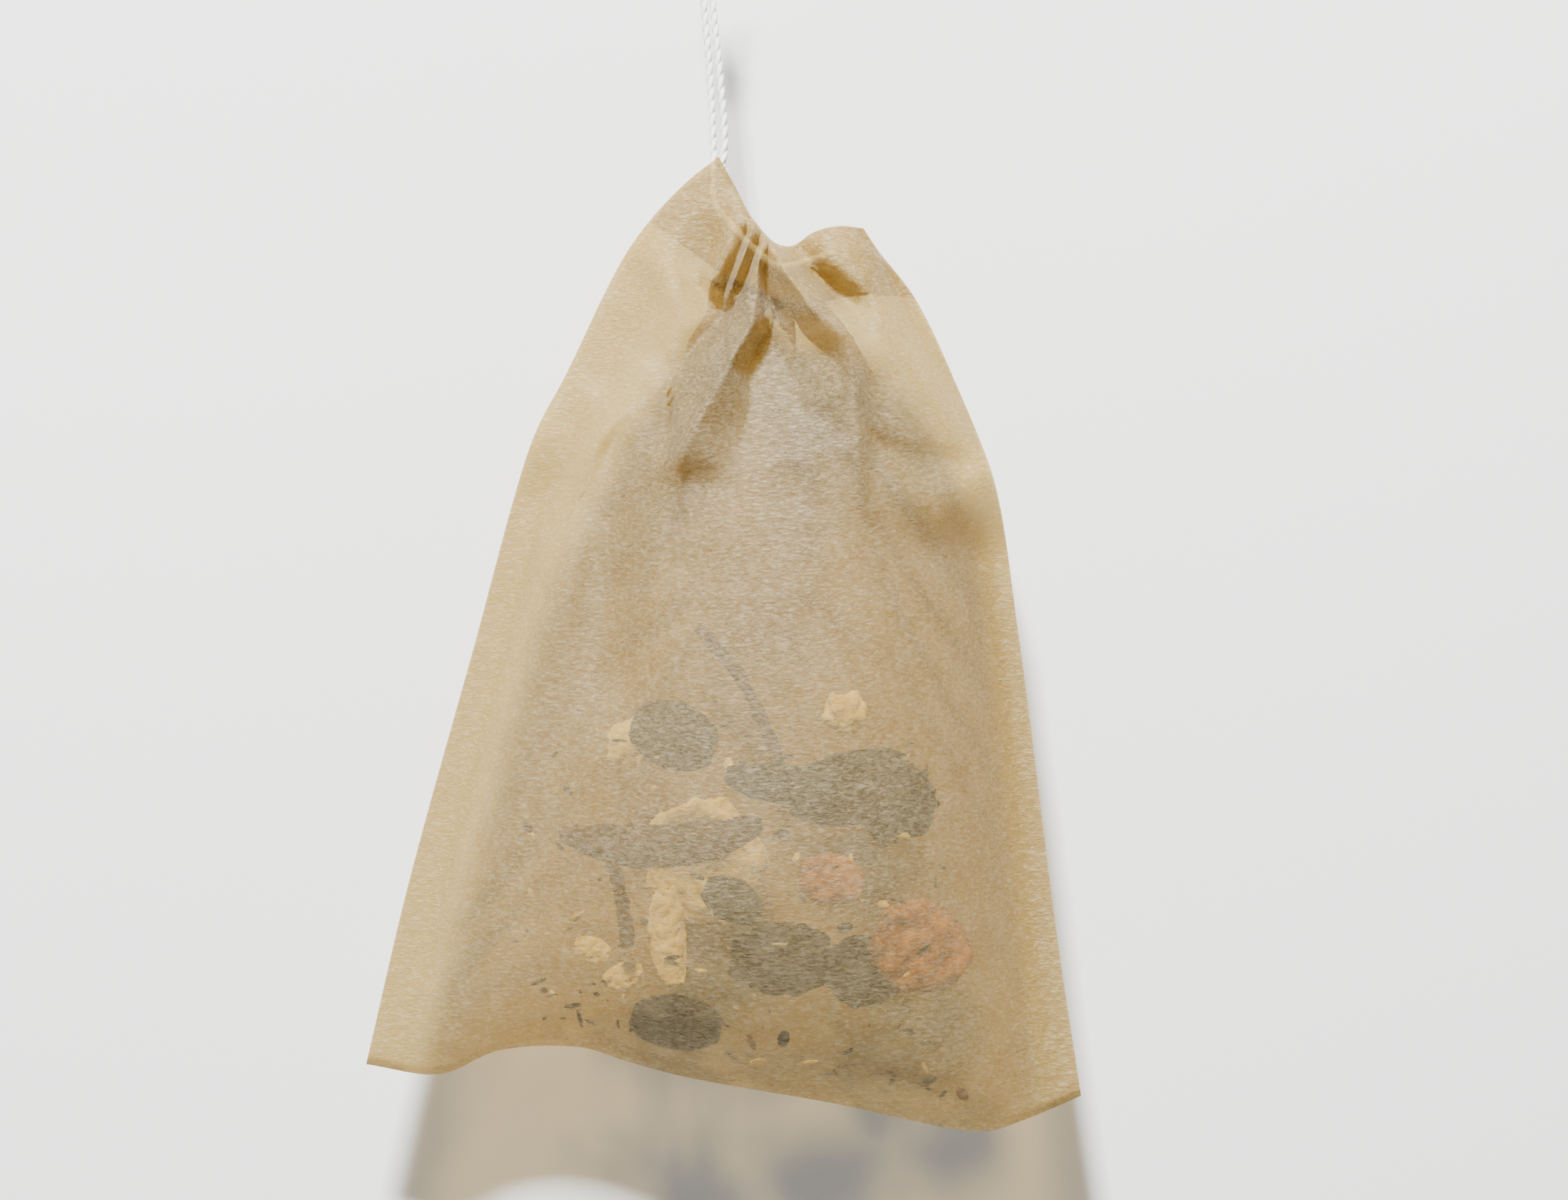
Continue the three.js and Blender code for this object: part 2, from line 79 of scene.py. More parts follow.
def smooth_path(points, step):
    """Points evenly spaced along a centripetal Catmull-Rom curve through the given ones."""
    knots = np.array(points, float)
    ends = (2 * knots[0] - knots[1], *knots, 2 * knots[-1] - knots[-2])
    fine = []
    for p0, p1, p2, p3 in zip(ends, ends[1:], ends[2:], ends[3:]):
        t1 = np.linalg.norm(p1 - p0) ** 0.5
        t2 = t1 + np.linalg.norm(p2 - p1) ** 0.5
        t3 = t2 + np.linalg.norm(p3 - p2) ** 0.5
        for t in np.linspace(t1, t2, 24, endpoint=False):
            a1 = (t1 - t) / t1 * p0 + t / t1 * p1
            a2 = (t2 - t) / (t2 - t1) * p1 + (t - t1) / (t2 - t1) * p2
            a3 = (t3 - t) / (t3 - t2) * p2 + (t - t2) / (t3 - t2) * p3
            b1 = (t2 - t) / t2 * a1 + t / t2 * a2
            b2 = (t3 - t) / (t3 - t1) * a2 + (t - t1) / (t3 - t1) * a3
            fine.append((t2 - t) / (t2 - t1) * b1 + (t - t1) / (t2 - t1) * b2)
    fine.append(knots[-1])
    fine = np.array(fine)
    run = np.concatenate([[0], np.cumsum(np.linalg.norm(np.diff(fine, axis=0), axis=1))])
    stops = np.linspace(0, run[-1], max(2, round(run[-1] / step)))
    return np.stack([np.interp(stops, run, fine[:, k]) for k in range(3)], axis=1)


def new_object(name, mesh):
    made = bpy.data.objects.new(name, mesh)
    bpy.context.collection.objects.link(made)
    return made


def finished(name, shape, material, smooth=True):
    """Turns a bmesh in millimetres into an object with its place in its mesh, in metres."""
    bmesh.ops.scale(shape, vec=(MM, MM, MM), verts=shape.verts)
    mesh = bpy.data.meshes.new(name)
    shape.to_mesh(mesh)
    shape.free()
    mesh.materials.append(material)
    if smooth:
        mesh.shade_smooth()
    else:
        mesh.shade_flat()
    return new_object(name, mesh)


def linear(hex_colour):
    """An sRGB hex value as the linear colour that a shader takes."""
    parts = [int(hex_colour[k:k + 2], 16) / 255 for k in (1, 3, 5)]
    return [c / 12.92 if c < 0.04045 else ((c + 0.055) / 1.055) ** 2.4 for c in parts] + [1]


def add_node(material, kind, settings=None, links=None):
    """Adds a shader node; links gives each input a value or another node's output."""
    node = material.node_tree.nodes.new(kind)
    for key, value in (settings or {}).items():
        setattr(node, key, value)
    for key, value in (links or {}).items():
        if isinstance(value, bpy.types.NodeSocket):
            material.node_tree.links.new(value, node.inputs[key])
        else:
            node.inputs[key].default_value = value
    return node


def new_material(name):
    material = bpy.data.materials.new(name)
    material.use_nodes = True
    material.node_tree.nodes.clear()
    return material


def give_surface(material, shader):
    add_node(material, "ShaderNodeOutputMaterial", links={"Surface": shader})


# Bleached cotton yarn: matt, with fine fibres lying along the twist.
def cotton_yarn():
    cotton = new_material("cotton_yarn")
    place = add_node(cotton, "ShaderNodeTexCoord").outputs["Object"]
    fibres = add_node(cotton, "ShaderNodeTexNoise", links={
        "Vector": place, "Scale": 1 / (0.12 * MM), "Detail": 3.0, "Roughness": 0.65}).outputs["Fac"]
    colour = add_node(cotton, "ShaderNodeMix", {"data_type": "RGBA"}, {
        "Factor": fibres, 6: linear("#dcdad4"), 7: linear("#fbfaf7")}).outputs[2]
    bump = add_node(cotton, "ShaderNodeBump", links={
        "Strength": 0.5, "Distance": 0.06 * MM, "Height": fibres}).outputs["Normal"]
    shader = add_node(cotton, "ShaderNodeBsdfPrincipled", links={
        "Base Color": colour, "Roughness": 0.9, "Normal": bump,
        "Sheen Weight": 0.3, "Sheen Roughness": 0.5}).outputs["BSDF"]
    give_surface(cotton, shader)
    return cotton


cotton = cotton_yarn()


def twisted(points, diameter, pitch):
    """Sweeps the section of a two-ply string, turning it once every pitch."""
    shape = bmesh.new()
    run = 0
    last_ring = None
    across = Vector((1, 0, 0))
    for k, point in enumerate(points):
        ahead = Vector(points[min(k + 1, len(points) - 1)] - points[max(k - 1, 0)]).normalized()
        across = (across - ahead * across.dot(ahead)).normalized()
        if k:
            run += np.linalg.norm(points[k] - points[k - 1])
        facing = Matrix((across, ahead.cross(across), ahead)).transposed().to_4x4()
        turn = Matrix.Rotation(2 * math.pi * run / pitch, 4, "Z")
        place = Matrix.Translation(Vector(point)) @ facing @ turn
        ring = bmesh.ops.create_circle(shape, segments=SECTION_SIDES, radius=diameter / 2)["verts"]
        for vert in ring:
            side = math.atan2(vert.co.y, vert.co.x)
            vert.co *= YARN_WAIST + (1 - YARN_WAIST) * abs(math.cos(side)) ** 0.8
            vert.co = place @ vert.co
        if last_ring:
            for a in range(SECTION_SIDES):
                b = (a + 1) % SECTION_SIDES
                shape.faces.new((last_ring[a], last_ring[b], ring[b], ring[a]))
        else:
            shape.faces.new(list(reversed(ring)))
        last_ring = ring
    shape.faces.new(last_ring)
    return shape


route = smooth_path(STRING_ROUTE, 0.16)
drawstring = finished("cotton_drawstring", twisted(route, STRING_DIAMETER, TWIST_PITCH), cotton)
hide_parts("drawstring")
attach(drawstring, "root")

# Both strands are tied together in one overhand knot, which keeps its own shape and only takes
# the string's cotton.
knot = bpy.data.objects["string_knot"]
knot.data.materials.clear()
knot.data.materials.append(cotton)


# The bag is one sheet of unbleached filter paper, folded at the bottom, heat-sealed up both sides
# and turned in at the mouth as a hem for the string. Drawing the string crowds the hem into
# pleats beside the left corner, and the paper below falls from them in creased folds.
FLAT_WIDTH = 70.0
FLAT_HEIGHT = 90.0
HEM_DEPTH = 9.0
SEAM_WIDTH = 4.2
HEM_SEAM_WIDTH = 1.1
SHEET_ROOM = 0.22
STRING_ROOM = 1.5
HEM_CLEARANCE = 0.4
TURNED_IN_DEPTH = 0.5
FRONT_BULGE = 12.6
BACK_BULGE = 9.4
# How full the bag is at each height, as (height, share of the bulge).
FULLNESS = (
    (0, 0), (0.03, 0.34), (0.08, 0.68), (0.2, 0.98), (0.3, 1),
    (0.45, 0.95), (0.6, 0.8), (0.75, 0.5), (0.9, 0.4), (1, 0.3),
)
# The stretch of the hem that is crowded into pleats, and the stretch of the drawn mouth that it
# ends up in, both as shares of the way from the left seam to the right.
GATHER = (0.11, 0.87)
GATHERED_TO = (0.36, 0.6)
PLEATS = 6
PLEAT_DEPTH = 1.3
CORNER = np.array((1.6, 0.0, -18.9))
COLUMNS = 96
ROWS_PER_PANEL = 96
ROWS_IN_HEM = 9


def outline(shares):
    """An edge of the hanging bag, from shares of its flat size measured from the corner."""
    points = [CORNER + (x * FLAT_WIDTH, 0, z * FLAT_HEIGHT) for x, z in shares]
    line = smooth_path(points, 0.5)
    place = np.linspace(0, 1, len(line))
    return lambda share: np.stack([np.interp(share, place, line[:, k]) for k in range(3)], axis=-1)


left_seam = outline([
    (-0.463, -0.919), (-0.409, -0.74), (-0.327, -0.509), (-0.246, -0.288),
    (-0.204, -0.224), (-0.119, -0.093), (-0.053, -0.033), (0, 0),
])
right_seam = outline([
    (0.466, -0.951), (0.437, -0.803), (0.386, -0.493), (0.354, -0.336),
    (0.299, -0.224), (0.249, -0.144), (0.203, -0.098), (0.18, -0.071),
])
bottom_fold = outline([
    (-0.463, -0.919), (-0.367, -0.929), (-0.29, -0.905), (-0.184, -0.902), (-0.124, -0.916),
    (-0.053, -0.931), (0.141, -0.958), (0.34, -0.987), (0.386, -0.977), (0.466, -0.951),
])
mouth_edge = outline([
    (0, 0), (0.02, -0.03), (0.037, -0.058), (0.05, -0.072), (0.072, -0.089), (0.093, -0.089),
    (0.115, -0.077), (0.147, -0.07), (0.18, -0.071),
])


def ease(start, end, x):
    """Rises smoothly from 0 at start to 1 at end."""
    t = np.clip((x - start) / (end - start), 0, 1)
    return t * t * (3 - 2 * t)


def mix(a, b, t):
    """Places between a and b, at the shares t of the way."""
    t = np.asarray(t)[..., None]
    return a + (b - a) * t


def seen_at(s, v):
    """Where a point of a panel shows: s from the left seam to the right, v up from the bottom."""
    left, right = left_seam(v), right_seam(v)
    spread = mix(left, right, s)
    chord = mix(left_seam(0.0), right_seam(0.0), s)
    spread += (bottom_fold(s) - chord) * ((1 - v) ** 3)[..., None]
    t = np.interp(s, [0, *GATHER, 1], [0, *GATHERED_TO, 1])
    chord = mix(left_seam(1.0), right_seam(1.0), t)
    drawn = mix(left, right, t) + (mouth_edge(t) - chord) * ease(0.6, 1, v)[..., None]
    return mix(spread, drawn, ease(0.5, 1, v) ** 1.3)


# Creases as (from, to, rise, reach): shares of the flat size from the corner, then millimetres.
FRONT_CREASES = [
    # the long ridge beside the left seam, and the hollow next to it
    ((-0.383, -0.87), (-0.16, -0.3), 2.6, 4),
    ((-0.175, -0.31), (-0.135, -0.54), -1.9, 4.5),
    # the bottom corners, nipped where the filling ends
    ((-0.375, -0.86), (-0.362, -0.93), 1.4, 2.4),
    ((0.34, -0.98), (0.25, -0.9), 1, 3),
    # small dents along the bottom fold, right of the middle
    ((0.12, -0.93), (0.24, -0.955), 0.7, 1.6),
    ((0.22, -0.9), (0.3, -0.95), 0.7, 1.8),
]
BACK_CREASES = [
    ((-0.36, -0.86), (-0.15, -0.3), 1.8, 4.5),
    ((0.03, -0.15), (-0.07, -0.36), 4.4, 4.5),
    ((0.06, -0.15), (0.04, -0.42), -3.6, 4),
    ((0.09, -0.13), (0.15, -0.36), 4.2, 4.5),
    ((0.14, -0.14), (0.27, -0.36), 1.6, 4),
    ((-0.05, -0.45), (0.2, -0.5), 1, 5),
]


def creased(creases, place):
    """How far the creases lift each place out, in millimetres."""
    rise = np.zeros(place.shape[:-1])
    flat = place[..., [0, 2]] - CORNER[[0, 2]]
    size = np.array((FLAT_WIDTH, FLAT_HEIGHT))
    for start, end, height, reach in creases:
        a, b = np.array(start) * size, np.array(end) * size
        t = np.clip((flat - a) @ (b - a) / ((b - a) @ (b - a)), 0, 1)
        away = np.linalg.norm(flat - a - t[..., None] * (b - a), axis=-1)
        rise += height * np.clip(1 - away / reach, 0, 1) ** 1.2
    return rise


# The folds of the front below the gather, as lines that the paper is bent along: millimetres
# across, up, and out from the plane of the seams. Between the lines the paper hangs straight.
FOLD_LINES = [
    # the standing corner, with its seam on the left and the turned hem on the right
    [(0.4, -16.5, 0.5), (2.6, -17.5, 0.6), (5.4, -21.5, 0.7), (6.2, -23.8, 1.2)],
    [(0.8, -19.6, 1.1), (1.2, -22.0, 1.7), (2.2, -24.6, 2.4)],
    [(-9.0, -20.0, 0.4), (-11.0, -27.0, 0.4), (-14.0, -33.0, 0.4), (-18.0, -40.0, 0.4)],
    [(-2.4, -21.8, 0.5), (-5.2, -24.9, 0.5), (-7.3, -28.4, 0.5), (-9.8, -33.7, 0.5), (-12.0, -38.4, 0.6)],
    [(-1.0, -24.0, 1.6), (-3.2, -27.7, 2.0), (-5.4, -31.8, 1.5), (-7.3, -35.9, 1.0), (-9.3, -39.8, 1.0)],
    [(-4.6, -28.2, 2.0), (-2.6, -31.5, 3.6), (-2.4, -35.0, 3.4), (-2.7, -39.2, 4.2)],
    [(0.6, -27.6, 1.4), (-0.7, -30.2, 1.6), (-1.3, -34.4, 3.6), (-0.9, -36.4, 2.6)],
    # the crowded hem: three standing pleats and the gaps between them
    [(3.3, -24.9, 3.4), (2.2, -27.5, 5.2), (1.0, -30.0, 4.8), (0.8, -31.2, 3.8)],
    [(3.8, -26.1, 2.2), (3.0, -28.2, 2.8), (2.1, -30.6, 2.8), (1.6, -31.9, 1.8)],
    [(4.4, -25.8, 4.2), (3.5, -28.5, 5.8), (2.2, -31.9, 5.4)],
    [(4.9, -27.0, 2.6), (4.1, -29.3, 3.2), (3.1, -31.5, 3.2)],
    [(5.3, -26.7, 4.6), (4.8, -29.3, 6.4), (3.8, -32.0, 6.4), (4.9, -31.6, 6.4)],
    [(0.9, -32.3, 1.4), (1.9, -33.2, 1.6)],
    # the left lobe: its crest, its far edge, and the paper behind that edge
    [(4.9, -31.6, 6.4), (4.4, -34.7, 7.8), (2.2, -38.5, 8.8), (-1.1, -44.2, 9.8), (-2.3, -47.1, 9.4)],
    [(3.0, -32.6, 5.4), (2.2, -34.0, 5.0), (0.2, -36.4, 4.8), (-2.7, -39.4, 4.4), (-2.4, -43.1, 6.4),
     (-2.3, -47.1, 9.4)],
    [(1.6, -34.0, 2.0), (-0.5, -36.0, 2.4), (-3.3, -39.8, 3.0), (-3.1, -43.4, 4.2), (-3.4, -47.6, 7.4)],
    [(-2.3, -47.1, 9.4), (-0.1, -47.4, 8.8), (2.0, -47.9, 8.6)],
    [(-2.2, -48.3, 8.0), (0.2, -48.9, 7.9), (2.4, -49.2, 8.4)],
    # the deep fold in the middle
    [(5.4, -29.5, 3.0), (5.6, -31.8, 2.4), (6.6, -33.6, 2.4), (5.6, -35.4, 2.8), (4.5, -37.5, 3.8),
     (4.0, -40.0, 5.4), (3.9, -43.4, 6.8), (3.6, -48.0, 8.6)],
    [(5.2, -33.4, 6.4), (5.4, -34.6, 6.0)],
    # the right lobe: its crest, the hollow under it and the drop behind it
    [(5.8, -27.3, 4.8), (7.4, -30.0, 7.0), (9.7, -33.1, 8.6), (11.7, -34.9, 9.2), (13.1, -35.9, 9.2),
     (13.5, -40.3, 9.2), (13.9, -45.4, 9.4), (14.4, -51.0, 9.5)],
    [(6.6, -31.4, 4.4), (7.5, -33.9, 4.8), (9.0, -36.2, 5.0), (11.4, -37.4, 6.0)],
    [(7.6, -38.6, 4.4), (8.6, -42.0, 6.8)],
    [(8.2, -29.2, 4.4), (9.7, -30.9, 5.2), (12.0, -33.0, 6.8), (13.3, -34.7, 7.8)],
    [(8.9, -28.9, 1.6), (10.4, -30.4, 1.2), (12.1, -32.2, 1.8), (13.9, -33.9, 3.8)],
    # the mouth beside it, and the rim of the right corner
    [(10.0, -29.2, 1.4), (11.4, -29.7, 1.0), (12.7, -31.3, 1.2), (13.9, -32.4, 2.4)],
    [(9.8, -28.7, 2.2), (11.5, -29.1, 4.2), (13.0, -30.2, 4.8), (14.7, -31.5, 5.0)],
    # the right corner standing above the mouth
    [(6.3, -26.3, 0.9), (7.6, -27.0, 0.7), (9.0, -28.2, 1.2)],
    [(6.0, -24.0, 0.4), (9.0, -23.5, 0.5), (12.0, -23.0, 0.5), (16.0, -23.5, 0.4), (20.0, -30.0, 0.4)],
    [(11.1, -24.8, 1.8), (10.6, -27.2, 3.4), (10.7, -28.4, 3.2)],
    [(13.4, -25.0, 0.8), (13.6, -26.6, 2.6), (15.4, -28.0, 2.2)],
    [(14.4, -26.6, 0.4), (16.8, -29.3, 0.4), (18.7, -33.1, 0.4), (22.2, -39.0, 0.4), (25.6, -44.9, 0.4)],
    # the slope down to the right shoulder, and the crinkled crease across it
    [(15.4, -33.4, 5.4), (18.4, -38.2, 5.0), (21.6, -42.4, 4.0), (24.4, -44.7, 1.6)],
    [(15.0, -36.6, 6.6), (15.0, -40.3, 6.6), (15.4, -42.8, 7.2)],
    [(14.6, -43.5, 8.6), (16.1, -44.3, 8.0), (17.4, -44.6, 7.1), (18.7, -45.1, 6.6), (19.9, -44.9, 5.8),
     (21.0, -45.1, 5.1), (22.2, -45.6, 4.3), (23.2, -45.5, 3.4), (25.4, -45.2, 0.8)],
    [(15.6, -45.3, 7.3), (18.2, -46.3, 6.2), (21.0, -46.5, 4.7), (23.0, -46.6, 3.2)],
    [(24.9, -46.0, 2.4), (22.4, -49.8, 5.8), (19.7, -53.7, 8.3), (17.0, -52.6, 9.0), (14.4, -51.0, 9.5)],
    [(17.8, -49.6, 8.0), (20.0, -49.4, 6.6)],
    # the fold from the left lobe down to the ridge beside the left seam
    [(-3.7, -39.9, 4.2), (-6.8, -42.3, 4.2), (-9.8, -45.2, 4.4), (-10.9, -50.0, 5.8), (-12.2, -54.4, 6.0)],
    [(-9.0, -46.2, 2.8), (-8.9, -50.3, 4.0), (-8.6, -54.0, 5.4)],
    [(-5.8, -46.7, 4.8), (-5.2, -50.3, 6.6), (-4.8, -54.0, 8.0)],
    [(-9.6, -41.9, 2.2), (-12.4, -46.0, 1.6), (-15.2, -53.5, 1.6)],
    [(-22.0, -45.0, 0.4), (-24.0, -60.0, 0.4), (34.0, -60.0, 0.4), (30.0, -46.0, 0.4)],
    # where the full part of the bag begins
    [(-17.6, -56.0, 0.4), (-12.8, -56.0, 5.0), (-8.4, -56.0, 6.2), (-3.0, -56.0, 8.6), (3.0, -56.0, 10.0),
     (9.0, -56.0, 10.4), (15.0, -56.0, 9.6), (21.0, -56.0, 6.6), (24.6, -56.0, 3.4), (27.8, -56.0, 0.4)],
]
# Up to the first share of a panel's height the front has the swell of the filled bag, and from the
# second one on it follows the fold lines.
FOLDED_FROM = (0.585, 0.66)
BESIDE_FOLDS = 0.5


def fold_net():
    """The fold lines joined by flat faces: corners as (across, up, out), and the faces."""
    points = [point for line in FOLD_LINES for point in line]
    bends = []
    start = 0
    for line in FOLD_LINES:
        bends += [(start + k, start + k + 1) for k in range(len(line) - 1)]
        start += len(line)
    flat = [Vector(point[:2]) for point in points]
    corners, sides, faces, came_from, _, _ = delaunay_2d_cdt(flat, bends, [], 0, 0.01)
    outs = [points[found[0]][2] if found else None for found in came_from]
    for k, out in enumerate(outs):
        if out is None:
            near = [outs[a + b - k] for a, b in sides if k in (a, b) and outs[a + b - k] is not None]
            outs[k] = sum(near) / len(near)
    return np.array([(c.x, c.y, out) for c, out in zip(corners, outs)]), faces


def folded_depth(place):
    """How far out the folds stand at each point of a grid of places."""
    corners, faces = fold_net()
    depth = np.full(place.shape[:-1], BESIDE_FOLDS)
    for face in faces:
        a, b, c = corners[list(face)]
        across_ab, across_ac = b[:2] - a[:2], c[:2] - a[:2]
        area = across_ab[0] * across_ac[1] - across_ab[1] * across_ac[0]
        if abs(area) < 1e-9:
            continue
        away = place[..., [0, 2]] - a[:2]
        to_b = (away[..., 0] * across_ac[1] - away[..., 1] * across_ac[0]) / area
        to_c = (away[..., 1] * across_ab[0] - away[..., 0] * across_ab[1]) / area
        inside = (to_b >= -1e-6) & (to_c >= -1e-6) & (to_b + to_c <= 1 + 1e-6)
        level = a[2] + to_b * (b[2] - a[2]) + to_c * (c[2] - a[2])
        depth[inside] = level[inside]
    return depth


def inside_depth(s, v, creases, bulge):
    """How far the inside face of a panel stands from the plane of the side seams."""
    seam = SEAM_WIDTH / FLAT_WIDTH
    hem_line = 1 - HEM_DEPTH / FLAT_HEIGHT
    seam = seam + (HEM_SEAM_WIDTH / FLAT_WIDTH - seam) * ease(hem_line - 0.03, hem_line + 0.03, v)
    w = np.clip((s - seam) / (1 - 2 * seam), 0, 1)
    edge = ease(0, 0.08, np.minimum(w, 1 - w))
    fullness = np.interp(v, *zip(*FULLNESS))
    across = np.sin(math.pi * w ** 1.25).clip(0) ** 0.7
    turn = np.clip((s - GATHER[0]) / (GATHER[1] - GATHER[0]), 0, 1) * PLEATS
    pleat = 2 * PLEAT_DEPTH * (1 - np.abs(2 * (turn % 1) - 1))
    body = bulge * fullness * across + creased(creases, seen_at(s, v)) * edge
    free = np.clip(body + pleat * ease(0.7, hem_line, v) ** 1.4, 0, None)
    in_hem = ease(hem_line - 0.07, hem_line + 0.02, v)
    neck = (HEM_CLEARANCE + SHEET_ROOM + STRING_ROOM) * edge + pleat
    drawn = np.maximum(free * (1 - in_hem), neck)
    return (free + (drawn - free) * in_hem) * ease(0, 0.02, v)


def smoothed(grid, width):
    """Running average of a grid, both ways."""
    kernel = np.ones(width) / width
    for axis in (0, 1):
        padded = np.pad(grid, [(width // 2,) * 2 if k == axis else (0, 0) for k in (0, 1)], "edge")
        grid = np.apply_along_axis(np.convolve, axis, padded, kernel, "valid")
    return grid


def sheet_grid():
    """The flat sheet: hem, front panel, back panel, hem, with its fold at the bottom."""
    rows = 2 * (ROWS_PER_PANEL + ROWS_IN_HEM)
    shape = bmesh.new()
    bmesh.ops.create_grid(shape, x_segments=COLUMNS, y_segments=rows, size=0.5)
    return shape, rows


def hung_place(across, along):
    """Where a point of the sheet hangs. across runs 0 to 1, along is millimetres down the sheet."""
    panel = np.where(along < HEM_DEPTH + FLAT_HEIGHT, -1, 1)
    down = np.where(panel < 0, along, 2 * (HEM_DEPTH + FLAT_HEIGHT) - along) - HEM_DEPTH
    v = 1 - np.abs(down) / FLAT_HEIGHT
    turned_in = down < 0
    place = seen_at(across, v)
    front = inside_depth(across, v, FRONT_CREASES, FRONT_BULGE)
    front = smoothed(front, width=7) * ease(0, 0.03, v)
    front += (folded_depth(place) - front) * ease(*FOLDED_FROM, v)
    back = inside_depth(across, v, BACK_CREASES, BACK_BULGE)
    depth = np.where(panel < 0, front, back) + SHEET_ROOM / 2
    depth = np.where(turned_in, np.minimum(TURNED_IN_DEPTH, depth / 2), depth)
    place[..., 1] = panel * depth
    return place


# Unbleached filter paper of long abaca fibres, creped and heat-sealed: uneven in tone, with a dull
# sheen, and thin enough for light and for what lies against it to show through, more so between
# the fibres. Where two layers are sealed it is darker and shows less.
def filter_paper():
    paper = new_material("unbleached_filter_paper")
    place = add_node(paper, "ShaderNodeTexCoord").outputs["Object"]
    clouds = add_node(paper, "ShaderNodeTexNoise", links={
        "Vector": place, "Scale": 1 / (3.2 * MM), "Detail": 5.0, "Roughness": 0.65}).outputs["Fac"]
    lying = add_node(paper, "ShaderNodeMapping", links={
        "Vector": place, "Rotation": (0, math.radians(8), 0), "Scale": (0.34, 0.6, 1.0)}).outputs["Vector"]
    fibres = add_node(paper, "ShaderNodeTexNoise", links={
        "Vector": lying, "Scale": 1 / (0.24 * MM), "Detail": 4.0, "Roughness": 0.7,
        "Distortion": 0.6}).outputs["Fac"]
    tone = add_node(paper, "ShaderNodeMapRange", links={
        "Value": clouds, "From Min": 0.3, "From Max": 0.7}).outputs["Result"]
    colour = add_node(paper, "ShaderNodeMix", {"data_type": "RGBA"}, {
        "Factor": tone, 6: linear("#97855a"), 7: linear("#b3a278")}).outputs[2]
    sealed_here = add_node(paper, "ShaderNodeAttribute", {"attribute_name": "sealed"}).outputs["Fac"]
    colour = add_node(paper, "ShaderNodeMix", {"data_type": "RGBA"}, {
        "Factor": sealed_here, 6: colour, 7: linear("#a68c4c")}).outputs[2]
    light_fibres = add_node(paper, "ShaderNodeMapRange", links={
        "Value": fibres, "From Min": 0.52, "From Max": 0.95}).outputs["Result"]
    colour = add_node(paper, "ShaderNodeMix", {"data_type": "RGBA"}, {
        "Factor": light_fibres, 6: colour, 7: linear("#ddd2ae")}).outputs[2]
    relief = add_node(paper, "ShaderNodeMath", {"operation": "MULTIPLY_ADD"}, {
        0: clouds, 1: 1.6, 2: fibres}).outputs["Value"]
    bump = add_node(paper, "ShaderNodeBump", links={
        "Strength": 1.0, "Distance": 0.13 * MM, "Height": relief}).outputs["Normal"]
    face = add_node(paper, "ShaderNodeBsdfPrincipled", links={
        "Base Color": colour, "Roughness": 0.45, "Specular IOR Level": 0.9,
        "Sheen Weight": 0.3, "Sheen Roughness": 0.4, "Normal": bump}).outputs["BSDF"]
    glow = add_node(paper, "ShaderNodeBsdfTranslucent", links={
        "Color": linear("#d9c48e"), "Normal": bump}).outputs["BSDF"]
    gaps = add_node(paper, "ShaderNodeBsdfTransparent", links={
        "Color": linear("#dccb9d")}).outputs["BSDF"]
    body = add_node(paper, "ShaderNodeMixShader", links={
        "Fac": 0.25, 1: face, 2: glow}).outputs["Shader"]
    pores = add_node(paper, "ShaderNodeMapRange", links={
        "Value": fibres, "From Min": 0.3, "From Max": 0.62, "To Min": 0.8, "To Max": 0.52}).outputs["Result"]
    pores = add_node(paper, "ShaderNodeMath", {"operation": "MULTIPLY_ADD", "use_clamp": True}, {
        0: sealed_here, 1: -0.2, 2: pores}).outputs["Value"]
    shader = add_node(paper, "ShaderNodeMixShader", links={
        "Fac": pores, 1: body, 2: gaps}).outputs["Shader"]
    give_surface(paper, shader)
    return paper


# Settling: the front keeps the folds it hangs in, and the back panel buckles from its hung place
# until its lengths are nearly those of the flat sheet. GIVE, PUSH and STRAY are tables against
# the height up the panel: how nearly the lengths are reached, the push in each round, and how
# far a point may stray, the last two in millimetres.
SETTLING_ROUNDS = 260
GIVE = ((0, 0.1), (0.3, 0.15), (0.5, 0.45), (0.65, 0.9), (1, 1))
PUSH = ((0, 0), (0.55, 0), (1, -0.0005))
STRAY = ((0, 1), (0.4, 1.6), (0.6, 3), (0.85, 4), (0.9, 2.5), (1, 1))
# The paper's stiffness, as (cells spanned, shortest share of their length, strength).
STIFFNESS = ((2, 0.97, 0.4), (4, 0.92, 0.3), (7, 0.85, 0.15))
LIMP_FROM = (0.84, 0.9)
ALONG_STRENGTH = 0.9
SLANT_STRENGTH = 0.2
KEPT_SPEED = 0.88
FACES_APART = 0.15


def link_sets(shape, rows, cols):
    """Links between grid points, in sets in which no point has two, as pairs of slices."""
    sets = []
    for start in range(2 * max(rows, abs(cols))):
        step = 2 * max(rows, abs(cols))
        if rows:
            count = len(range(start, shape[0] - rows, step))
            ends = start + step * (count - 1) + 1
            first, second = slice(start, ends, step), slice(start + rows, ends + rows, step)
            if cols > 0:
                pair = ((first, slice(0, -cols)), (second, slice(cols, None)))
            elif cols < 0:
                pair = ((first, slice(-cols, None)), (second, slice(0, cols)))
            else:
                pair = ((first, slice(None)), (second, slice(None)))
        else:
            count = len(range(start, shape[1] - cols, step))
            ends = start + step * (count - 1) + 1
            pair = ((slice(None), slice(start, ends, step)),
                    (slice(None), slice(start + cols, ends + cols, step)))
        if count > 0:
            sets.append(pair)
    return sets


